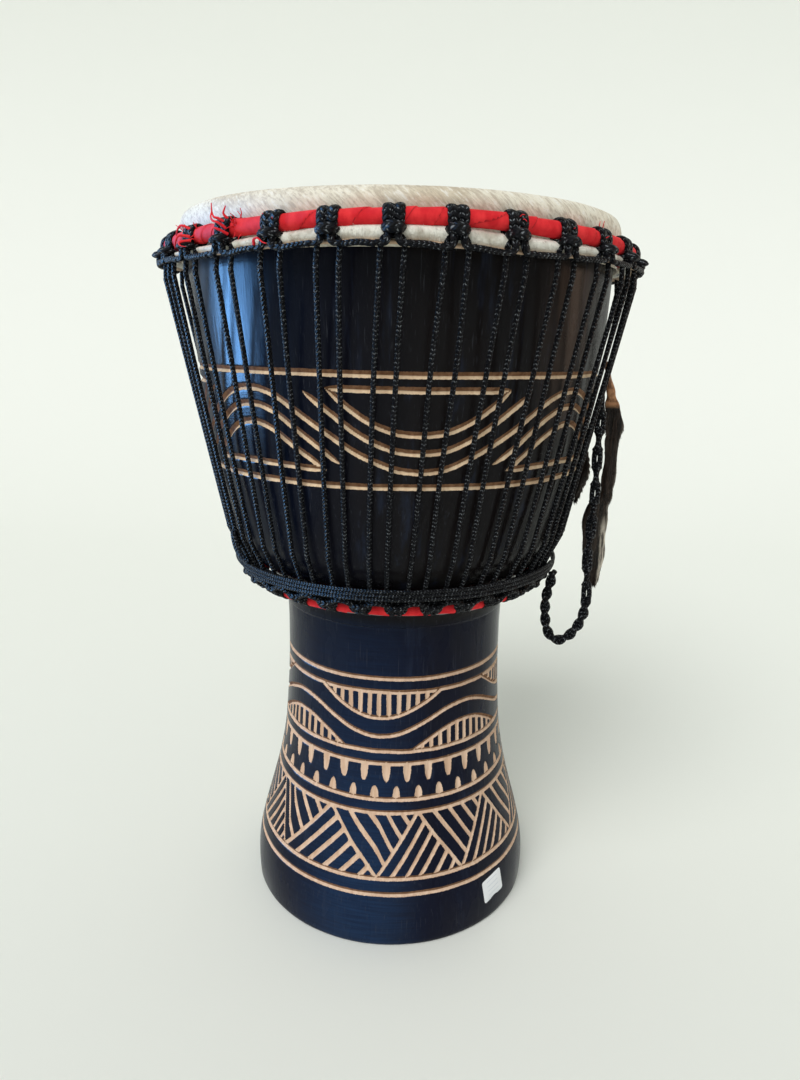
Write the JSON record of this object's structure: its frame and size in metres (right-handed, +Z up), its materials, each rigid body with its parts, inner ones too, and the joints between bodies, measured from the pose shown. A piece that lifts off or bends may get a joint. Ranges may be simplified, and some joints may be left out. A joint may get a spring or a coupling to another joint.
{
  "type": "djembe",
  "caption": "Goblet-shaped hand drum with a carved wooden shell, a goat skin head, cloth-wrapped rings, vertical rope lacing and a braided carrying rope.",
  "frame": {"origin": "centre of the foot's flat underside, on the drum's axis", "axes": "+Z up along the drum's axis; -Y is the front; the carrying rope hangs on the +X side"},
  "size_m": [0.3946, 0.3934, 0.6],
  "materials": {
    "black_wood": "black satin paint over carved hardwood, bare tan wood in the grooves",
    "goat_skin": "dried goat skin, matt, with short shaved hair",
    "steel": "plain steel rod, hidden under cloth or skin",
    "red_cotton": "woven red cotton strip, matt",
    "black_rope": "braided black synthetic rope, slight sheen",
    "goat_hide": "dark brown goat hide with its hair on",
    "label_paper": "white paper label"
  },
  "bodies": {
    "drum": {"shell": "black_wood", "drumhead_skin": "goat_skin", "flesh_ring": "steel", "crown_ring": "steel", "bottom_ring": "steel", "crown_ring_cloth": "red_cotton", "bottom_ring_cloth": "red_cotton", "crown_loop_rope": "black_rope", "bottom_loop_rope": "black_rope", "lacing_rope": "black_rope", "belt_rope": "black_rope", "hide_strip": "goat_hide", "price_label": "label_paper"},
    "handle": {"carrying_rope": "black_rope"}
  },
  "joints": [
    {"name": "handle_swing", "type": "hinge", "parent": "drum", "child": "handle", "pos_m": [0.16861, -0.04376, 0.452], "axis": [0.2032, -0.0528, 0.9777], "range_deg": [-40, 40]}
  ]
}
